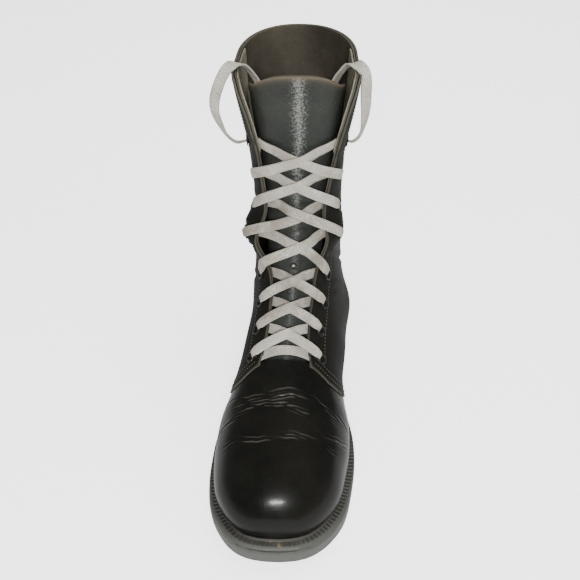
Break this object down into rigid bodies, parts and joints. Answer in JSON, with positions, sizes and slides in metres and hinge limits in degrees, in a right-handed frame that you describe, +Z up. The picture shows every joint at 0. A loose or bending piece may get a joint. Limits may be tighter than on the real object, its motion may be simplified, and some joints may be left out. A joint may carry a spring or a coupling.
{
  "type": "boot",
  "caption": "Tall lace-up black leather combat boot for the left foot: plain toe, quarters over the vamp, ribbed welt, block heel and flat white laces crossed up to the collar.",
  "frame": {"origin": "on the ground under the middle of the boot's box, measured without the lace ends", "axes": "+Z up, toe towards -Y, heel towards +Y, outer side of the foot towards +X"},
  "size_m": [0.1136, 0.307, 0.2805],
  "materials": {
    "black_leather": "polished and worn",
    "tongue_leather": "semi-gloss, crackled",
    "welt_rubber": "matte, ribbed",
    "sole_rubber": "matte, scuffed",
    "insole_board": "matte",
    "eyelet_enamel": "black enamel",
    "lace_cotton": "flat woven cotton, dirty in places",
    "tip_plastic": "clear-white"
  },
  "bodies": {
    "root": {"backstay": "black_leather", "eyelet_inner_1": "eyelet_enamel", "eyelet_inner_2": "eyelet_enamel", "eyelet_inner_3": "eyelet_enamel", "eyelet_inner_4": "eyelet_enamel", "eyelet_inner_5": "eyelet_enamel", "eyelet_inner_6": "eyelet_enamel", "eyelet_inner_7": "eyelet_enamel", "eyelet_inner_8": "eyelet_enamel", "eyelet_outer_1": "eyelet_enamel", "eyelet_outer_2": "eyelet_enamel", "eyelet_outer_3": "eyelet_enamel", "eyelet_outer_4": "eyelet_enamel", "eyelet_outer_5": "eyelet_enamel", "eyelet_outer_6": "eyelet_enamel", "eyelet_outer_7": "eyelet_enamel", "eyelet_outer_8": "eyelet_enamel", "heel": "sole_rubber", "insole": "insole_board", "lace_bar": "lace_cotton", "lace_crossing_1": "lace_cotton", "lace_crossing_2": "lace_cotton", "lace_crossing_3": "lace_cotton", "lace_crossing_4": "lace_cotton", "lace_crossing_5": "lace_cotton", "lace_crossing_6": "lace_cotton", "lace_crossing_7": "lace_cotton", "lace_end_inner": "lace_cotton", "lace_end_outer": "lace_cotton", "lace_tip_inner": "tip_plastic", "lace_tip_outer": "tip_plastic", "outsole": "sole_rubber", "tongue": "tongue_leather", "upper": "black_leather", "welt": "welt_rubber"}
  },
  "joints": []
}
